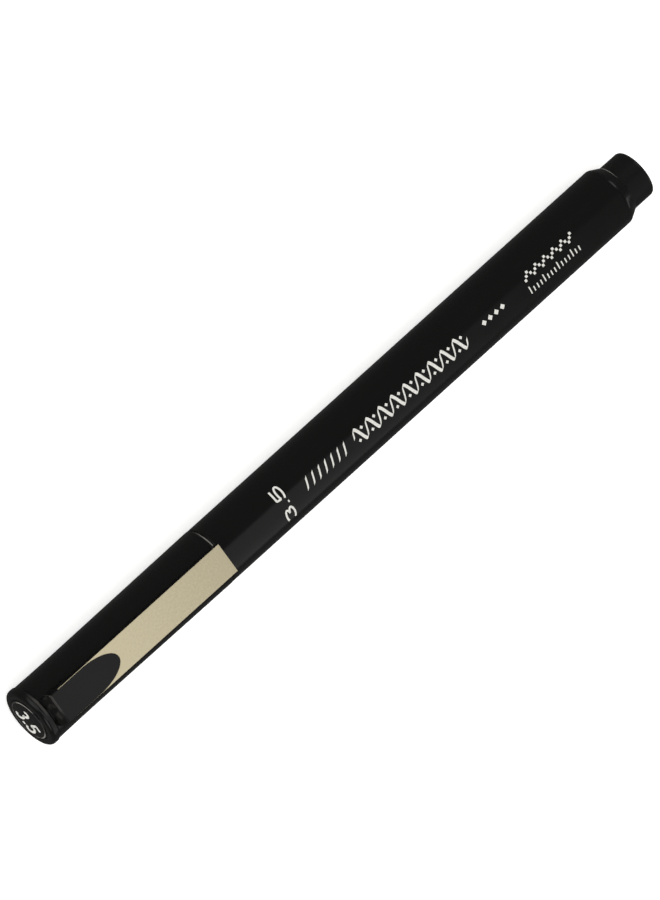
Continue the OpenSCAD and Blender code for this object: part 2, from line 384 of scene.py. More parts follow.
def add_node(tree, kind, **values):
    """Adds a node. A value sets the node's property of that name, or else its input socket."""
    node = tree.nodes.new(kind)
    for name, value in values.items():
        if hasattr(node, name):
            setattr(node, name, value)
        else:
            node.inputs[name.replace("_", " ")].default_value = value
    return node


def new_material(name, base, roughness):
    """A material with its shader, and the marker's own coordinates for the detail."""
    found = bpy.data.materials.get(name)
    if found:
        return found, None, None, None
    material = bpy.data.materials.new(name)
    material.use_nodes = True
    tree = material.node_tree
    shader = tree.nodes["Principled BSDF"]
    shader.inputs["Base Color"].default_value = (*base, 1.0)
    shader.inputs["Roughness"].default_value = roughness
    place = tree.nodes.new("ShaderNodeTexCoord").outputs["Object"]
    return material, tree, shader, place


def stretched(tree, place, scale):
    """Coordinates scaled differently along and across the marker."""
    mapping = add_node(tree, "ShaderNodeMapping", Scale=scale)
    tree.links.new(place, mapping.inputs["Vector"])
    return mapping.outputs["Vector"]


def coordinate(tree, place, axis):
    """One coordinate of a place: X, Y or Z."""
    node = add_node(tree, "ShaderNodeSeparateXYZ")
    tree.links.new(place, node.inputs["Vector"])
    return node.outputs[axis]


def noise(tree, place, scale, detail=3.0, roughness=0.5):
    """A cloudy value round 0.5."""
    node = add_node(tree, "ShaderNodeTexNoise", Scale=scale, Detail=detail, Roughness=roughness)
    tree.links.new(place, node.inputs["Vector"])
    return node.outputs["Fac"]


def spread(tree, value, low, high, start=0.0, end=1.0):
    """Maps a value between low and high to start and end."""
    node = add_node(tree, "ShaderNodeMapRange")
    tree.links.new(value, node.inputs["Value"])
    for name, limit in (("From Min", low), ("From Max", high), ("To Min", start), ("To Max", end)):
        node.inputs[name].default_value = limit
    return node.outputs["Result"]


def arithmetic(tree, operation, *values):
    """The result of an operation on values, each a number or another node's output."""
    node = add_node(tree, "ShaderNodeMath", operation=operation)
    for value, socket in zip(values, node.inputs):
        if isinstance(value, float):
            socket.default_value = value
        else:
            tree.links.new(value, socket)
    return node.outputs[0]


def shade(base, share):
    """A colour made darker or lighter."""
    return tuple(channel * share for channel in base)


def paint(tree, shader, amount, first, second):
    """Colours a shader with the first colour where an amount is 0 and the second where it is 1."""
    node = add_node(tree, "ShaderNodeMix", data_type="RGBA")
    tree.links.new(amount, node.inputs["Factor"])
    node.inputs[6].default_value = (*first, 1.0)
    node.inputs[7].default_value = (*second, 1.0)
    tree.links.new(node.outputs[2], shader.inputs["Base Color"])


def polish(tree, shader, value, low, high, start, end):
    """Varies a shader's roughness from start to end as a value goes from low to high."""
    tree.links.new(spread(tree, value, low, high, start, end), shader.inputs["Roughness"])


def raise_surface(tree, shader, height, strength, distance):
    """Adds a bump. Bumps stack when this is called again."""
    bump = add_node(tree, "ShaderNodeBump", Strength=strength, Distance=distance)
    tree.links.new(height, bump.inputs["Height"])
    before = shader.inputs["Normal"].links
    if before:
        tree.links.new(before[0].from_socket, bump.inputs["Normal"])
    tree.links.new(bump.outputs["Normal"], shader.inputs["Normal"])


def specks(tree, place, scale, size, share):
    """Small round dust specks, in a share of the cells: 1 inside a speck and 0 elsewhere."""
    cells = add_node(tree, "ShaderNodeTexVoronoi", Scale=scale, Randomness=1.0)
    tree.links.new(place, cells.inputs["Vector"])
    near = spread(tree, cells.outputs["Distance"], size * 0.6, size, 1.0, 0.0)
    split = add_node(tree, "ShaderNodeSeparateColor")
    tree.links.new(cells.outputs["Color"], split.inputs["Color"])
    chosen = arithmetic(tree, "GREATER_THAN", split.outputs[0], 1.0 - share)
    return arithmetic(tree, "MULTIPLY", near, chosen)


def ridge(tree, value, centre, reach, peak=1.0):
    """Its peak where a value is at its centre, falling to 0 at a distance of reach."""
    gap = arithmetic(tree, "ABSOLUTE", arithmetic(tree, "SUBTRACT", value, centre))
    return spread(tree, gap, reach * 0.4, reach, peak, 0.0)


def edge_highlight(peak, along, reach, side, side_reach):
    """A mask for a painted highlight along an edge that crosses the marker, on one side of it."""
    def mask(tree, place):
        at_edge = ridge(tree, coordinate(tree, place, "X"), along, reach, peak)
        at_side = ridge(tree, coordinate(tree, place, "Y"), side, side_reach)
        return arithmetic(tree, "MULTIPLY", at_edge, at_side)
    return mask


def pale_corner_patches(peak, along, reach):
    """A mask for faint pale patches in a corner that crosses the marker."""
    def mask(tree, place):
        in_corner = ridge(tree, coordinate(tree, place, "X"), along, reach, peak)
        patches = spread(tree, noise(tree, place, 620.0, 2.0), 0.5, 0.62)
        return arithmetic(tree, "MULTIPLY", in_corner, patches)
    return mask


def rim_highlight(peak, radius, reach):
    """A mask for a painted highlight that runs in patches round a rim."""
    def mask(tree, place):
        # The place with X flattened and Z counted from the axis, whose length is the distance from the axis.
        outwards = add_node(tree, "ShaderNodeVectorMath", operation="MULTIPLY_ADD")
        tree.links.new(place, outwards.inputs[0])
        outwards.inputs[1].default_value = (0.0, 1.0, 1.0)
        outwards.inputs[2].default_value = (0.0, 0.0, -AXIS_Z)
        distance = add_node(tree, "ShaderNodeVectorMath", operation="LENGTH")
        tree.links.new(outwards.outputs["Vector"], distance.inputs[0])
        at_rim = ridge(tree, distance.outputs["Value"], radius, reach)
        patches = spread(tree, noise(tree, place, 420.0, 2.0), 0.46, 0.62, 0.1, peak)
        return arithmetic(tree, "MULTIPLY", at_rim, patches)
    return mask


def black_plastic(name, base, roughness, dust=0.03, wear=0.05, highlight_and_patch_masks=()):
    """Moulded black plastic: handling smudges, fine lengthwise scratches, a little dust, and the painted
    highlights and pale patches that its masks give.
    """
    material, tree, shader, place = new_material(name, base, roughness)
    if tree is None:
        return material
    shader.inputs["IOR"].default_value = 1.5
    smudges = noise(tree, place, 160.0, 4.0, 0.6)
    polish(tree, shader, smudges, 0.3, 0.7, roughness - wear / 2, roughness + wear / 2)
    scratches = noise(tree, stretched(tree, place, (60.0, 4200.0, 4200.0)), 1.0, 2.0, 0.7)
    raise_surface(tree, shader, scratches, 0.12, 0.00001)
    ripple = noise(tree, place, 900.0, 2.0)
    raise_surface(tree, shader, ripple, 0.05, 0.00002)
    pale = specks(tree, place, 520.0, 0.045, dust)
    for mask in highlight_and_patch_masks:
        pale = arithmetic(tree, "MAXIMUM", pale, mask(tree, place))
    # Dust specks and the masks' painted highlights and pale patches share one pale colour.
    paint(tree, shader, pale, base, PALE_DUST_AND_HIGHLIGHT)
    return material


def champagne_foil(finishes):
    """Satin champagne foil: a fine grain, faint rolling marks, and a colour that darkens towards the tip."""
    base = finishes.champagne
    rough = finishes.champagne_rough
    material, tree, shader, place = new_material("champagne_foil", base, rough)
    if tree is None:
        return material
    shader.inputs["Metallic"].default_value = 0.35
    # Darker towards the tip.
    darker_towards_tip = spread(tree, coordinate(tree, place, "X"), CAP_END + 0.016, STRIP_HIGH.x)
    grain = noise(tree, place, 2600.0, 4.0, 0.65)
    mottled = arithmetic(tree, "ADD", spread(tree, grain, 0.35, 0.65, -0.3, 0.3), darker_towards_tip)
    paint(tree, shader, mottled, base, shade(base, 0.8))
    polish(tree, shader, grain, 0.3, 0.7, rough - 0.06, rough + 0.06)
    raise_surface(tree, shader, grain, 0.25, 0.000012)
    rolling = noise(tree, stretched(tree, place, (80.0, 6000.0, 6000.0)), 1.0, 2.0)
    raise_surface(tree, shader, rolling, 0.12, 0.00001)
    return material


def white_ink(finishes):
    """Pad-printed white ink, a little thin and uneven."""
    base = finishes.ink_white
    material, tree, shader, place = new_material("white_ink", base, 0.5)
    if tree is None:
        return material
    cover = spread(tree, noise(tree, place, 5200.0, 3.0, 0.6), 0.3, 0.62)
    paint(tree, shader, cover, shade(base, 0.62), base)
    raise_surface(tree, shader, noise(tree, place, 9000.0), 0.2, 0.00001)
    return material


def inked_felt(finishes):
    """Bonded felt, soaked with black ink: a matt web of short fibres."""
    base = finishes.felt
    material, tree, shader, place = new_material("inked_felt", base, 0.75)
    if tree is None:
        return material
    fibres = noise(tree, stretched(tree, place, (1800.0, 5200.0, 5200.0)), 1.0, 5.0, 0.7)
    paint(tree, shader, spread(tree, fibres, 0.42, 0.75), base, shade(base, 5.0))
    polish(tree, shader, fibres, 0.3, 0.7, 0.9, 0.55)
    raise_surface(tree, shader, fibres, 0.6, 0.00006)
    return material


def inked_fibre(finishes):
    """Bundled polyester fibre of the reservoir, dark with ink."""
    base = finishes.fibre
    material, tree, shader, place = new_material("inked_fibre", base, 0.8)
    if tree is None:
        return material
    strands = noise(tree, stretched(tree, place, (40.0, 5000.0, 5000.0)), 1.0, 4.0, 0.6)
    paint(tree, shader, spread(tree, strands, 0.4, 0.7), base, shade(base, 3.0))
    raise_surface(tree, shader, strands, 0.5, 0.0001)
    return material


def clear_film():
    """Thin clear film round the reservoir, with fine creases."""
    material, tree, shader, place = new_material("clear_film", (0.82, 0.84, 0.85), 0.12)
    if tree is None:
        return material
    shader.inputs["Transmission Weight"].default_value = 0.6
    creases = noise(tree, stretched(tree, place, (60.0, 700.0, 700.0)), 1.0, 3.0)
    raise_surface(tree, shader, creases, 0.3, 0.00005)
    polish(tree, shader, creases, 0.3, 0.7, 0.08, 0.2)
    return material


def cup_plastic(finishes):
    """Natural polyethylene of the inner cap: waxy, slightly cloudy and stained with ink in patches."""
    base = finishes.cup
    material, tree, shader, place = new_material("cup_plastic", base, 0.42)
    if tree is None:
        return material
    shader.inputs["Subsurface Weight"].default_value = 0.3
    shader.inputs["Subsurface Radius"].default_value = (0.0006, 0.0006, 0.0005)
    stain = spread(tree, noise(tree, place, 380.0, 4.0, 0.6), 0.5, 0.68)
    paint(tree, shader, stain, base, shade(base, 0.35))
    raise_surface(tree, shader, noise(tree, place, 1500.0), 0.15, 0.00003)
    return material


def glossy_black(finishes, name, *highlight_and_patch_masks):
    """The plastic of the barrel, cap and clip, with each piece's own painted highlights, and on the clip
    pale patches at its root.
    """
    return black_plastic(name, finishes.black, finishes.black_gloss, highlight_and_patch_masks=highlight_and_patch_masks)


def satin_black(finishes):
    """The duller plastic of the grip and the tail plug."""
    return black_plastic("satin_black_plastic", finishes.satin_black, 0.3, dust=0.05, wear=0.08)


# ---------------------------------------------------------------- print helpers

def line_stroke(path, width):
    """The two sides of a line of even width along a path."""
    sides = []
    for i, point in enumerate(path):
        ahead = path[min(i + 1, len(path) - 1)] - path[max(i - 1, 0)]
        normal = Vector((-ahead.y, ahead.x)).normalized() * width / 2
        sides.append((point + normal, point - normal))
    return sides


def nib_stroke(path, width, degrees=40.0):
    """The two sides of the stroke that a broad nib, held at one angle, leaves along a path."""
    turn = math.radians(degrees)
    nib = Vector((math.cos(turn), math.sin(turn))) * width / 2
    return [(point + nib, point - nib) for point in path]


def arc_path(x, y, radius, start, end, steps=14):
    """Points along an arc, with its angles in degrees."""
    turns = [math.radians(start + (end - start) * i / steps) for i in range(steps + 1)]
    return [Vector((x + radius * math.cos(a), y + radius * math.sin(a))) for a in turns]


def straight(start, end, steps=6):
    """Points along a straight line."""
    return [Vector(start).lerp(Vector(end), i / steps) for i in range(steps + 1)]


def size_figures(height, line, stretch, gap):
    """The nib's size, centred on (0, 0): line strokes for a 3, a point and a 5.

    Each figure is drawn in a box that is 1 high, with its middle at figure_middle, and then stretched
    sideways. The gap is the distance between the middles of the 3 and the 5, in figure heights.
    """
    figure_middle = Vector((0.28, 0.5))
    three = arc_path(0.28, 0.745, 0.235, 150, -75) + arc_path(0.28, 0.265, 0.265, 75, -150)
    five = (straight((0.56, 1.0), (0.12, 1.0)) + straight((0.11, 0.98), (0.08, 0.56))
            + arc_path(0.28, 0.30, 0.29, 128, -150))
    point = straight((0.28, -0.03), (0.28, 0.12), 1)
    strokes = []
    for figure, shift, weight in ((three, -gap / 2, 1.0), (point, 0.05, 1.1), (five, gap / 2, 1.0)):
        from_middle = [p - figure_middle for p in figure]
        path = [Vector((p.x * stretch + shift, p.y)) * height for p in from_middle]
        strokes.append(line_stroke(path, line * weight))
    return strokes


def diamond(x, y, size):
    """A short dab of a broad nib, which leaves a diamond."""
    path = straight((x - size * 0.25, y + size * 0.3), (x + size * 0.25, y - size * 0.3), 3)
    return nib_stroke(path, size * 0.8)


def diamond_row(count, pitch, size):
    """Diamonds side by side."""
    return [diamond(size * 2 / 3 + i * pitch, 0.0, size) for i in range(count)]


def slanted_strokes(count, pitch, height, width):
    """Parallel downstrokes, as drawn with a broad nib."""
    strokes = []
    for i in range(count):
        path = straight((i * pitch + height * 0.38, height / 2), (i * pitch, -height / 2), 8)
        strokes.append(nib_stroke(path, width))
    return strokes


def wave_border(span, height, waves, width):
    """A wave drawn with a broad nib, with a diamond in every bay."""
    steps = waves * 20
    path = []
    for i in range(steps + 1):
        turn = 2 * math.pi * waves * i / steps
        path.append(Vector((span * i / steps, height / 2 * math.sin(turn))))
    strokes = [nib_stroke(path, width)]
    for i in range(waves):
        strokes.append(diamond(span * (i + 0.25) / waves, -height * 0.30, width * 1.05))
        strokes.append(diamond(span * (i + 0.75) / waves, height * 0.30, width * 1.05))
    return strokes


def nib_ladder(span, step, rungs):
    """Squares of one nib width that climb and fall again, as used to set the height of letters."""
    strokes = []
    for i in range(int(span / step)):
        place = i % (2 * rungs - 2)
        rung = min(place, 2 * rungs - 2 - place)
        x = i * step
        y = (rung - (rungs - 1) / 2) * step
        strokes.append(line_stroke(straight((x + step * 0.06, y), (x + step * 0.94, y), 2), step * 0.88))
    return strokes


def tick_scale(span, pitch, height, width):
    """A row of upright ticks, every fourth one long."""
    strokes = []
    for i in range(int(span / pitch) + 1):
        top = height / 2 if i % 4 == 0 else height / 6
        strokes.append(line_stroke(straight((i * pitch, -height / 2), (i * pitch, top), 3), width))
    return strokes


def print_piece(name, strokes, place, film, columns=4):
    """A thin solid film of ink for a list of strokes. place(x, y, lift) puts a point on the surface."""
    bm = bmesh.new()
    for sides in strokes:
        layers = []
        for lift in (-film / 2, film):
            grid = []
            for left, right in sides:
                points = [left.lerp(right, c / columns) for c in range(columns + 1)]
                grid.append([bm.verts.new(place(p.x, p.y, lift)) for p in points])
            layers.append(grid)
        lower, upper = layers
        rows = len(sides)
        for r in range(rows - 1):
            for c in range(columns):
                for grid in layers:
                    bm.faces.new((grid[r][c], grid[r][c + 1], grid[r + 1][c + 1], grid[r + 1][c]))
            for c in (0, columns):
                bm.faces.new((lower[r][c], lower[r + 1][c], upper[r + 1][c], upper[r][c]))
        for r in (0, rows - 1):
            for c in range(columns):
                bm.faces.new((lower[r][c], lower[r][c + 1], upper[r][c + 1], upper[r][c]))
    return make_object(name, mesh_from(name, bm))


def on_barrel(radius, start, degrees):
    """Places a print that reads along the barrel, some degrees round it from the clip's line."""
    def place(x, y, lift):
        turn = math.radians(degrees) - y / radius
        r = radius + lift
        return (start + x, -r * math.sin(turn), AXIS_Z + r * math.cos(turn))
    return place


def round_barrel(radius, centre, degrees):
    """Places a print that reads round the barrel, with its top towards the cap."""
    def place(x, y, lift):
        turn = math.radians(degrees) - x / radius
        r = radius + lift
        return (centre - y, -r * math.sin(turn), AXIS_Z + r * math.cos(turn))
    return place


def on_disc(face, shift, drop):
    """Places a print on the size disc's face, with its top towards the clip."""
    def place(x, y, lift):
        return (face - lift, -x - shift, AXIS_Z + y - drop)
    return place


# ---------------------------------------------------------------- operators

class MARKER_OT_barrel(bpy.types.Operator):
    """Turn the barrel, with its neck, bore and bevelled tail"""
    bl_idname = "marker.barrel"
    bl_label = "Barrel"

    def execute(self, context):
        b = context.scene.marker_barrel
        front = MOUTH + b.seat_gap
        bore_front = INK_FRONT - 0.0004
        step_front = bore_front - 0.0003
        back = BARREL_HIGH.x
        corners = [
            (BARREL_LOW.x, b.neck_bore, 0.0), (BARREL_LOW.x, b.neck_radius, 0.0003),
            (front, b.neck_radius, 0.0), (front, b.radius, b.front_edge),
            (back - b.bevel, b.radius, b.bevel_round), (back, b.stub_radius + b.tail_lip, 0.00012),
            (back, b.bore, 0.0), (bore_front, b.bore, 0.0), (step_front, b.neck_bore, 0.0)]
        piece = lathe("barrel_shell", corners)
        # Painted highlight along the tail's back edge, on the +Y side.
        tail_edge_highlight = edge_highlight(peak=0.6, along=back - 0.00008, reach=0.00013,
                                side=0.0050, side_reach=0.0026)
        material = glossy_black(context.scene.marker_finish, "barrel_plastic", tail_edge_highlight)
        finish_piece(piece, material, "body", "barrel", "barrel")
        return {"FINISHED"}


class MARKER_OT_tail_plug(bpy.types.Operator):
    """Turn the tail plug with its stub, and slit the part inside the barrel"""
    bl_idname = "marker.tail_plug"
    bl_label = "Tail plug"

    def execute(self, context):
        b = context.scene.marker_barrel
        fit = b.bore - SLIP
        front = PLUG_LOW.x
        seat = BARREL_HIGH.x + SLIP
        end = PLUG_HIGH.x
        inside = fit - b.plug_wall
        dimple_floor = end - 0.0003
        web_front = seat - 0.0008
        corners = [
            (front, inside, 0.0), (front, fit - 0.0002, 0.0), (front + 0.0006, fit, 0.0),
            (seat, fit, 0.0), (seat, b.stub_radius, 0.00008), (end, b.stub_radius, b.stub_edge),
            (end, 0.0015, 0.0001), (dimple_floor, 0.0013, 0.0001), (dimple_floor, 0.0, 0.0),
            (web_front, 0.0, 0.0), (web_front, inside, 0.0)]
        piece = lathe("tail_stub", corners)
        beyond = 0.006
        for y, z in ((b.slit_width / 2, beyond), (beyond, b.slit_width / 2)):
            slit = block("slit", (front - 0.001, -y, AXIS_Z - z), (front + b.slit_length, y, AXIS_Z + z))
            combine(piece, slit, "DIFFERENCE")
        finish_piece(piece, satin_black(context.scene.marker_finish), "body", "tail_plug", "tail_plug")
        return {"FINISHED"}


class MARKER_OT_nib_holder(bpy.types.Operator):
    """Turn the grip and nose that hold the nib, with grooves and the nib's slot"""
    bl_idname = "marker.nib_holder"
    bl_label = "Nib holder"

    def execute(self, context):
        b = context.scene.marker_barrel
        front = HOLDER_LOW.x
        nose_back = front + b.nose_length
        grip_front = nose_back + b.shoulder
        grip_back = BARREL_LOW.x - b.flange
        seat = BARREL_LOW.x - b.seat_gap
        flange = b.neck_radius - 0.0001
        plug = b.neck_bore - SLIP
        back = HOLDER_HIGH.x
        corners = [
            (front, 0.0, 0.0), (front, b.nose_tip, 0.0003), (nose_back, b.nose_radius, 0.0002),
            (grip_front, b.grip_front, 0.0004)]
        slope = (b.grip_back - b.grip_front) / (grip_back - grip_front)
        for i in range(b.grooves):
            start = grip_front + b.first_groove + i * b.groove_pitch
            for step, sunk in ((0.0, 0.0), (0.0002, 1.0), (0.0008, 1.0), (0.001, 0.0)):
                x = start + step
                corners.append((x, b.grip_front + slope * (x - grip_front) - sunk * b.groove_depth, 0.00008))
        corners += [
            (grip_back, b.grip_back, 0.0001), (grip_back + 0.0002, flange, 0.0001),
            (seat, flange, 0.0001), (seat, plug, 0.0), (back, plug, 0.0003), (back, 0.0, 0.0)]
        piece = lathe("grip_section", corners)
        nib_gap = 0.00005
        half_width = (NIB_HIGH.y - NIB_LOW.y) / 2 + nib_gap
        half_height = (NIB_HIGH.z - NIB_LOW.z) / 2 + nib_gap
        slot = block("slot", (front - 0.001, -half_width, AXIS_Z - half_height),
                     (grip_front + 0.002, half_width, AXIS_Z + half_height))
        combine(piece, slot, "DIFFERENCE")
        combine(piece, rod("bore", grip_front + 0.001, back + 0.001, b.holder_bore, 64), "DIFFERENCE")
        finish_piece(piece, satin_black(context.scene.marker_finish), "body", "nib_holder", "nib_holder")
        return {"FINISHED"}


class MARKER_OT_nib(bpy.types.Operator):
    """Shape the felt nib: a flat bar with a two-sided chisel edge"""
    bl_idname = "marker.nib"
    bl_label = "Nib"

    def execute(self, context):
        n = context.scene.marker_nib
        half = (NIB_HIGH.z - NIB_LOW.z) / 2
        edge = n.edge_thickness / 2
        front = NIB_LOW.x
        back = NIB_HIGH.x
        wedge_front = back - 0.002
        blunt = 0.0003
        lower = [(front, -edge, 0.00006), (front + n.bevel, -half, 0.0004), (wedge_front, -half, 0.0004),
                 (back, -blunt, 0.0001)]
        upper = [(x, -z, r) for x, z, r in reversed(lower)]
        inset = 0.00003
        piece = prism("chisel_felt", rounded(lower + upper), NIB_LOW.y + inset, NIB_HIGH.y - inset, across)
        soften(piece, 0.0001)
        remesh = piece.modifiers.new("felt", "REMESH")
        remesh.mode = "VOXEL"
        remesh.voxel_size = 0.0001
        texture = bpy.data.textures.new("felt_fuzz", "CLOUDS")
        texture.noise_scale = 0.00035
        fuzz = piece.modifiers.new("fuzz", "DISPLACE")
        fuzz.texture = texture
        fuzz.strength = n.fuzz
        fuzz.mid_level = 0.9
        settle(piece)
        finish_piece(piece, inked_felt(context.scene.marker_finish), "body", "nib", "nib")
        return {"FINISHED"}


class MARKER_OT_reservoir(bpy.types.Operator):
    """Finish the ink reservoir and its film, which stay inside the barrel"""
    bl_idname = "marker.reservoir"
    bl_label = "Reservoir"

    def execute(self, context):
        finishes = context.scene.marker_finish
        for node, material in (("reservoir_core", inked_fibre(finishes)), ("reservoir_film", clear_film())):
            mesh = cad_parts[node].data
            mesh.materials.clear()
            mesh.materials.append(material)
        return {"FINISHED"}


def clip_tab(name, settings, low, high, clearance=0.0):
    """The tab under the clip's root or, with a clearance, the slot that it needs in the cap."""
    start = CAP_END + settings.tab_at - clearance
    end = CAP_END + settings.tab_at + settings.tab_length + clearance
    half = settings.tab_width / 2 + clearance
    return block(name, (start, -half, low), (end, half, high))


class MARKER_OT_cap_tube(bpy.types.Operator):
    """Turn the cap's tube, slimmest near its end, and cut the slot for the clip's tab"""
    bl_idname = "marker.cap_tube"
    bl_label = "Cap tube"

    def execute(self, context):
        c = context.scene.marker_cap
        k = context.scene.marker_clip
        mouth_radius = (TUBE_HIGH.z - TUBE_LOW.z) / 2
        waist = CAP_END + c.waist_at
        steps = 10
        chamfer = 0.0003
        corners = [(TUBE_LOW.x, c.bore, 0.0)]
        for i in range(steps + 1):
            share = 1 - i / steps
            x = waist - (waist - TUBE_LOW.x) * share
            corners.append((x, c.waist_radius + (c.root_radius - c.waist_radius) * share ** 2, 0.0))
        corners += [
            (MOUTH, mouth_radius, c.mouth_edge), (MOUTH, c.bore + chamfer / 2, 0.00004),
            (MOUTH - chamfer, c.bore, 0.0)]
        piece = lathe("cap_shell", corners)
        slot = clip_tab("slot", k, AXIS_Z + c.bore - 0.0003, AXIS_Z + c.root_radius + 0.001, k.tab_clear)
        combine(piece, slot, "DIFFERENCE")
        # Painted highlight along the cap's mouth, on the +Y side.
        mouth = edge_highlight(peak=0.5, along=MOUTH - c.mouth_edge, reach=0.00016,
                            side=0.0028, side_reach=0.0026)
        material = glossy_black(context.scene.marker_finish, "cap_plastic", mouth)
        finish_piece(piece, material, "cap", "cap_tube", "cap_tube")
        return {"FINISHED"}


class MARKER_OT_cap_crown(bpy.types.Operator):
    """Turn the crown: a rounded ring with a recess, and the plug behind it"""
    bl_idname = "marker.cap_crown"
    bl_label = "Cap crown"

    def execute(self, context):
        c = context.scene.marker_cap
        ring = (CROWN_HIGH.z - CROWN_LOW.z) / 2
        recess = (DISC_HIGH.z - DISC_LOW.z) / 2 + c.disc_gap
        ring_back = CAP_END + c.crown_length
        plug = c.bore - SLIP
        corners = [
            (DISC_HIGH.x, 0.0, 0.0), (DISC_HIGH.x, recess, 0.0), (CROWN_LOW.x, recess, 0.00006),
            (CROWN_LOW.x, ring, c.crown_edge), (ring_back, ring, 0.0003), (ring_back, plug, 0.0),
            (CROWN_HIGH.x, plug, 0.0002), (CROWN_HIGH.x, 0.0, 0.0)]
        piece = lathe("crown_ring", corners)
        # Painted highlight near the ring's back edge, on the +Y side.
        ring_highlight = edge_highlight(peak=0.13, along=ring_back - 0.0005, reach=0.0003,
                                side=0.0022, side_reach=0.0024)
        material = glossy_black(context.scene.marker_finish, "crown_plastic", ring_highlight)
        finish_piece(piece, material, "cap", "cap_crown", "cap_crown")
        return {"FINISHED"}


class MARKER_OT_size_disc(bpy.types.Operator):
    """Turn the disc in the crown and print the nib's size on it"""
    bl_idname = "marker.size_disc"
    bl_label = "Size disc"

    def execute(self, context):
        c = context.scene.marker_cap
        p = context.scene.marker_print
        finishes = context.scene.marker_finish
        radius = (DISC_HIGH.z - DISC_LOW.z) / 2
        corners = [
            (DISC_HIGH.x, 0.0, 0.0), (DISC_HIGH.x, radius, 0.0), (DISC_LOW.x, radius, c.disc_edge),
            (DISC_LOW.x, 0.0, 0.0)]
        piece = lathe("crown_disc", corners)
        # Painted highlight, in patches, round the disc's rim.
        rim = rim_highlight(peak=0.8, radius=radius - c.disc_edge, reach=0.00014)
        finish_piece(piece, glossy_black(finishes, "disc_plastic", rim), "cap", "size_disc", "size_disc")
        strokes = size_figures(p.disc_height, p.disc_line, p.disc_stretch, p.disc_step)
        place = on_disc(DISC_LOW.x, p.disc_shift, p.disc_drop)
        figures = print_piece("disc_figures", strokes, place, p.film)
        finish_piece(figures, white_ink(finishes), "cap", "size_disc")
        return {"FINISHED"}


class MARKER_OT_inner_cap(bpy.types.Operator):
    """Turn the cup that closes round the nose when the cap is on"""
    bl_idname = "marker.inner_cap"
    bl_label = "Inner cap"

    def execute(self, context):
        c = context.scene.marker_cap
        outer = c.bore - SLIP
        sleeve = c.cup_bore + c.cup_wall
        front = CUP_LOW.x
        seat_end = front + c.cup_seat
        floor = front + c.cup_wall
        back = CUP_HIGH.x
        flange = back - 0.001
        corners = [
            (front, 0.0, 0.0), (front, outer, 0.0001), (seat_end, outer, 0.0001),
            (seat_end + 0.0007, sleeve, 0.0003), (flange - 0.0004, sleeve, 0.0002), (flange, outer, 0.0001),
            (back, outer, 0.0001), (back, c.cup_bore + 0.00015, 0.0001), (back - 0.0004, c.cup_bore, 0.0),
            (floor, c.cup_bore, 0.0003), (floor, 0.0, 0.0)]
        piece = lathe("seal_cup", corners, 96)
        finish_piece(piece, cup_plastic(context.scene.marker_finish), "cap", "inner_cap", "inner_cap")
        return {"FINISHED"}


def tongue_outline(settings, grow=0.0):
    """The tongue seen from over the clip: straight sides and a long rounded point."""
    half = (CLIP_HIGH.y - CLIP_LOW.y) / 2 - settings.strip_margin - settings.sliver + grow
    start = CLIP_LOW.x + settings.slope
    point = CAP_END + settings.tongue_end
    round_from = point - settings.tongue_round
    outline = [Vector((start, -half)), Vector((start, half))]
    steps = 40
    for i in range(steps + 1):
        turn = math.pi / 2 - math.pi * i / steps
        x = round_from + (settings.tongue_round + grow) * math.cos(turn)
        outline.append(Vector((x, half * math.sin(turn))))
    return outline


class MARKER_OT_clip(bpy.types.Operator):
    """Mould the clip: saddle root, straight arm, raised tongue, tab and contact nub"""
    bl_idname = "marker.clip"
    bl_label = "Clip"

    def execute(self, context):
        k = context.scene.marker_clip
        face = STRIP_HIGH.z - AXIS_Z
        arm_top = STRIP_LOW.z - AXIS_Z
        arm_under = face - k.thickness
        tongue_low = AXIS_Z + arm_top - 0.0004
        nub_top = arm_under + 0.0003
        tab_top = AXIS_Z + 0.0059
        start = CLIP_LOW.x
        tip = CLIP_HIGH.x
        corners = [
            (start, k.root_low, 0.0), (start, k.root_high, 0.0003), (start + k.slope, arm_top, 0.0002),
            (tip, arm_top, 0.0), (tip, arm_under, 0.0003), (CAP_END + k.lift_end, arm_under, 0.002),
            (CAP_END + k.block_end, k.root_low, 0.0)]
        clip = prism("clip_moulding", rounded(corners), CLIP_LOW.y, CLIP_HIGH.y, across)
        soften(clip, k.edge)
        tongue = prism("tongue", tongue_outline(k), tongue_low, CLIP_HIGH.z, upwards)
        soften(tongue, k.tongue_proud * 0.8, 2)
        combine(clip, tongue, "UNION")
        combine(clip, rod("saddle", start - 0.001, tip + 0.001, k.saddle, 192), "DIFFERENCE")
        combine(clip, self.contact_nub(k, tip - k.nub_at, nub_top), "UNION")
        combine(clip, clip_tab("tab", k, CLIP_LOW.z, tab_top), "UNION")
        # Painted highlight along the tongue's front edge.
        tongue_edge_highlight = edge_highlight(peak=0.14, along=start + k.slope, reach=0.00014,
                                  side=0.0012, side_reach=0.0026)
        # Faint pale patches in the corner at the clip's root.
        root_patches = pale_corner_patches(peak=0.05, along=start + k.slope * 0.35, reach=k.slope * 0.6)
        material = glossy_black(context.scene.marker_finish, "clip_plastic", tongue_edge_highlight, root_patches)
        finish_piece(clip, material, "clip", "clip", "clip")
        return {"FINISHED"}

    def contact_nub(self, k, along, top):
        """The round-bottomed nub that meets the cap under the clip's tip."""
        bottom = TUBE_HIGH.z - AXIS_Z + 0.00001
        points = arc_path(along, bottom + k.nub_radius, k.nub_radius, 180, 360, 16)
        outline = [(p.x, p.y) for p in points if p.y <= top]
        outline += [(along + k.nub_radius, top), (along - k.nub_radius, top)]
        return prism("nub", outline, -k.nub_width / 2, k.nub_width / 2, across)


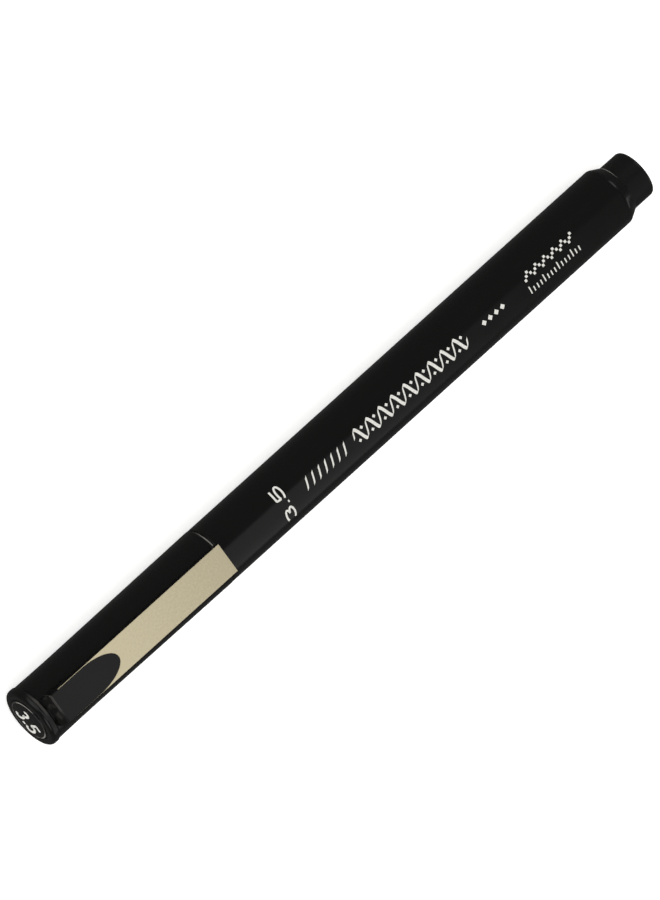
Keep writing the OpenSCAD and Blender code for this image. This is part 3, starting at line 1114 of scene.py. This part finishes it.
class MARKER_OT_clip_strip(bpy.types.Operator):
    """Cut the champagne metal strip to fit round the tongue"""
    bl_idname = "marker.clip_strip"
    bl_label = "Clip strip"

    def execute(self, context):
        k = context.scene.marker_clip
        half = (STRIP_HIGH.y - STRIP_LOW.y) / 2 - k.strip_margin
        root = STRIP_LOW.x
        tip = STRIP_HIGH.x
        inner = tongue_outline(k, SLIP)
        cut = [Vector((root, inner[1].y))] + inner[2:] + [Vector((root, inner[0].y))]
        outline = [Vector((root, -half)), Vector((tip, -half)), Vector((tip, half)), Vector((root, half))]
        strip = prism("clip_foil", outline + cut, STRIP_LOW.z, STRIP_HIGH.z, upwards)
        soften(strip, 0.00004, 2)
        finish_piece(strip, champagne_foil(context.scene.marker_finish), "clip", "clip_strip", "clip_strip")
        return {"FINISHED"}


class MARKER_OT_barrel_print(bpy.types.Operator):
    """Print the nib's size, pen strokes, a border, diamonds, a nib-width ladder and a scale on the barrel"""
    bl_idname = "marker.barrel_print"
    bl_label = "Barrel print"

    def execute(self, context):
        p = context.scene.marker_print
        radius = context.scene.marker_barrel.radius
        ink = white_ink(context.scene.marker_finish)
        number_middle = MOUTH + p.number_at + p.number_height / 2
        for name, strokes, place in (
                ("print_number", size_figures(p.number_height, p.line, p.number_stretch, p.number_step),
                 round_barrel(radius, number_middle, degrees=4.0)),
                ("print_strokes", slanted_strokes(count=7, pitch=0.00145, height=0.0019, width=0.0006),
                 on_barrel(radius, MOUTH + p.strokes_at, degrees=1.5)),
                ("print_border", wave_border(p.border_length, height=0.0026, waves=9, width=0.00055),
                 on_barrel(radius, MOUTH + p.border_at, degrees=0.5)),
                ("print_diamonds", diamond_row(count=4, pitch=0.0014, size=0.0009),
                 on_barrel(radius, MOUTH + p.diamonds_at, degrees=1.0)),
                ("print_ladder", nib_ladder(p.ladder_length, step=0.0005, rungs=3),
                 on_barrel(radius, MOUTH + p.ladder_at, degrees=-10.0)),
                ("print_scale", tick_scale(p.ladder_length, pitch=0.0008, height=0.0014, width=0.00022),
                 on_barrel(radius, MOUTH + p.ladder_at, degrees=14.0))):
            finish_piece(print_piece(name, strokes, place, p.film), ink, "body", "barrel")
        return {"FINISHED"}


# Curved glowing cards: name, setting for the brightness, angles from overhead in degrees, and the reach
# along X and the fade in metres.
CARDS = (
    ("softbox", "softbox_glow", (-89.0, 1.9), (-0.14, 0.255), 0.03),
    ("key_card", "key_glow", (-24.0, 75.0), (-0.27, -0.17), 0.03),
    ("left_cap_wing", "wing_glow", (25.0, 80.0), (-1.3, -0.38), 0.2),
    ("right_cap_wing", "wing_glow", (-80.0, -25.0), (-1.3, -0.38), 0.2),
    ("left_tail_wing", "wing_glow", (25.0, 62.0), (1.3, 0.38), -0.2),
    ("right_tail_wing", "wing_glow", (-80.0, -56.0), (1.3, 0.38), -0.2),
    ("left_card", "left_glow", (25.0, 80.0), (-0.14, 0.04), 0.08),
)


class MARKER_OT_stage(bpy.types.Operator):
    """Set the floor, the light and the camera"""
    bl_idname = "marker.stage"
    bl_label = "Stage"

    def execute(self, context):
        s = context.scene.marker_stage
        context.scene.view_settings.view_transform = "Standard"
        self.add_floor(context.scene.marker_finish, s.floor_glow)
        for name, glow, angles, reach, fade in CARDS:
            self.add_card(name, s.card_distance, angles, reach, getattr(s, glow), fade)
        self.light_room(context.scene, s)
        self.add_camera(context.scene, s)
        return {"FINISHED"}

    def add_floor(self, finishes, glow):
        """A wide pale floor, lit a little from below, that the marker lies on."""
        bm = bmesh.new()
        bmesh.ops.create_grid(bm, x_segments=8, y_segments=8, size=6.0)
        floor = make_object("floor", mesh_from("floor", bm))
        material, tree, shader, place = new_material("floor_paper", finishes.floor, 0.9)
        fibres = noise(tree, place, 2500.0, 4.0)
        paint(tree, shader, fibres, shade(finishes.floor, 0.99), finishes.floor)
        shader.inputs["Emission Color"].default_value = (1.0, 1.0, 1.0, 1.0)
        shader.inputs["Emission Strength"].default_value = glow
        floor.data.materials.append(material)
        floor.visible_glossy = False

    def add_card(self, name, distance, angles, reach, brightness, fade):
        """A curved glowing card round the marker's axis, seen in reflections only.

        The angles are counted from overhead and are negative on the side of -Y. The card spans its
        reach along X, and its light fades out over the last stretch of that reach.
        """
        bm = bmesh.new()
        steps = 32
        rows = []
        for i in range(steps + 1):
            turn = math.radians(angles[0] + (angles[1] - angles[0]) * i / steps)
            y = distance * math.sin(turn)
            z = AXIS_Z + distance * math.cos(turn)
            rows.append([bm.verts.new((x, y, z)) for x in reach])
        for row, after in zip(rows, rows[1:]):
            bm.faces.new((row[0], row[1], after[1], after[0]))
        card = make_object(name, mesh_from(name, bm))
        material = bpy.data.materials.new(name)
        material.use_nodes = True
        tree = material.node_tree
        tree.nodes.clear()
        place = tree.nodes.new("ShaderNodeTexCoord").outputs["Object"]
        level = spread(tree, coordinate(tree, place, "X"), reach[1] - fade, reach[1], brightness, 0.0)
        glow = add_node(tree, "ShaderNodeEmission")
        tree.links.new(level, glow.inputs["Strength"])
        out = add_node(tree, "ShaderNodeOutputMaterial")
        tree.links.new(glow.outputs["Emission"], out.inputs["Surface"])
        card.data.materials.append(material)
        card.visible_camera = False
        card.visible_shadow = False
        card.visible_diffuse = False

    def light_room(self, scene, s):
        """Even light from everywhere, which glossy surfaces see as a dim room."""
        world = bpy.data.worlds.new("room")
        scene.world = world
        world.use_nodes = True
        tree = world.node_tree
        tree.nodes.clear()
        rays = tree.nodes.new("ShaderNodeLightPath")
        level = spread(tree, rays.outputs["Is Glossy Ray"], 0.0, 1.0, s.room_glow, s.room_gloss)
        background = add_node(tree, "ShaderNodeBackground")
        tree.links.new(level, background.inputs["Strength"])
        background.inputs["Color"].default_value = (1.0, 1.0, 0.985, 1.0)
        out = add_node(tree, "ShaderNodeOutputWorld")
        tree.links.new(background.outputs["Background"], out.inputs["Surface"])

    def add_camera(self, scene, s):
        """A long lens above the cap's end, rolled so that the marker climbs across the picture."""
        facing = Vector((0.0, math.sin(s.turn), math.cos(s.turn)))
        side = Vector((0.0, -math.cos(s.turn), math.sin(s.turn)))
        back = Vector((-math.sin(s.tilt), 0.0, 0.0)) + facing * math.cos(s.tilt)
        along = Vector((math.cos(s.tilt), 0.0, 0.0)) + facing * math.sin(s.tilt)
        right = along * math.cos(s.roll) + side * math.sin(s.roll)
        up = along * math.sin(s.roll) - side * math.cos(s.roll)
        middle = Vector(((CAP_END + PLUG_HIGH.x) / 2, 0.0, AXIS_Z))
        aim = middle - Vector((s.aim_back, 0.0, 0.0)) + side * s.aim_side
        data = bpy.data.cameras.new("camera")
        data.lens = s.lens
        data.sensor_width = 36.0
        distance = s.view_height * s.lens / data.sensor_width
        data.clip_start = distance * 0.1
        data.clip_end = distance * 10
        camera = bpy.data.objects.new("camera", data)
        scene.collection.objects.link(camera)
        turn = Matrix((right, up, back)).transposed().to_4x4()
        camera.matrix_world = Matrix.Translation(aim + back * distance) @ turn
        scene.camera = camera


class MARKER_PT_panel(bpy.types.Panel):
    """Lists the marker's pieces and settings"""
    bl_idname = "MARKER_PT_panel"
    bl_label = "Calligraphy Marker"
    bl_space_type = "VIEW_3D"
    bl_region_type = "UI"
    bl_category = "Marker"

    def draw(self, context):
        layout = self.layout
        for operator in OPERATORS:
            layout.operator(operator.bl_idname)
        for name, group in GROUPS.items():
            box = layout.box()
            settings = getattr(context.scene, name)
            for key in group.__annotations__:
                box.prop(settings, key)


GROUPS = {
    "marker_barrel": BarrelSettings,
    "marker_cap": CapSettings,
    "marker_clip": ClipSettings,
    "marker_nib": NibSettings,
    "marker_print": PrintSettings,
    "marker_finish": FinishSettings,
    "marker_stage": StageSettings,
}

OPERATORS = (
    MARKER_OT_stage,
    MARKER_OT_barrel,
    MARKER_OT_tail_plug,
    MARKER_OT_nib_holder,
    MARKER_OT_nib,
    MARKER_OT_reservoir,
    MARKER_OT_cap_tube,
    MARKER_OT_cap_crown,
    MARKER_OT_size_disc,
    MARKER_OT_inner_cap,
    MARKER_OT_clip,
    MARKER_OT_clip_strip,
    MARKER_OT_barrel_print,
)


def register():
    """Registers the settings, operators and panel."""
    for cls in (*GROUPS.values(), *OPERATORS, MARKER_PT_panel):
        bpy.utils.register_class(cls)
    for name, group in GROUPS.items():
        setattr(bpy.types.Scene, name, PointerProperty(type=group))


def unregister():
    """Takes them all back out."""
    for name in GROUPS:
        delattr(bpy.types.Scene, name)
    for cls in reversed((*GROUPS.values(), *OPERATORS, MARKER_PT_panel)):
        bpy.utils.unregister_class(cls)


def main():
    """Builds the marker."""
    register()
    for operator in OPERATORS:
        group, name = operator.bl_idname.split(".")
        getattr(getattr(bpy.ops, group), name)()


if __name__ == "__main__":
    main()
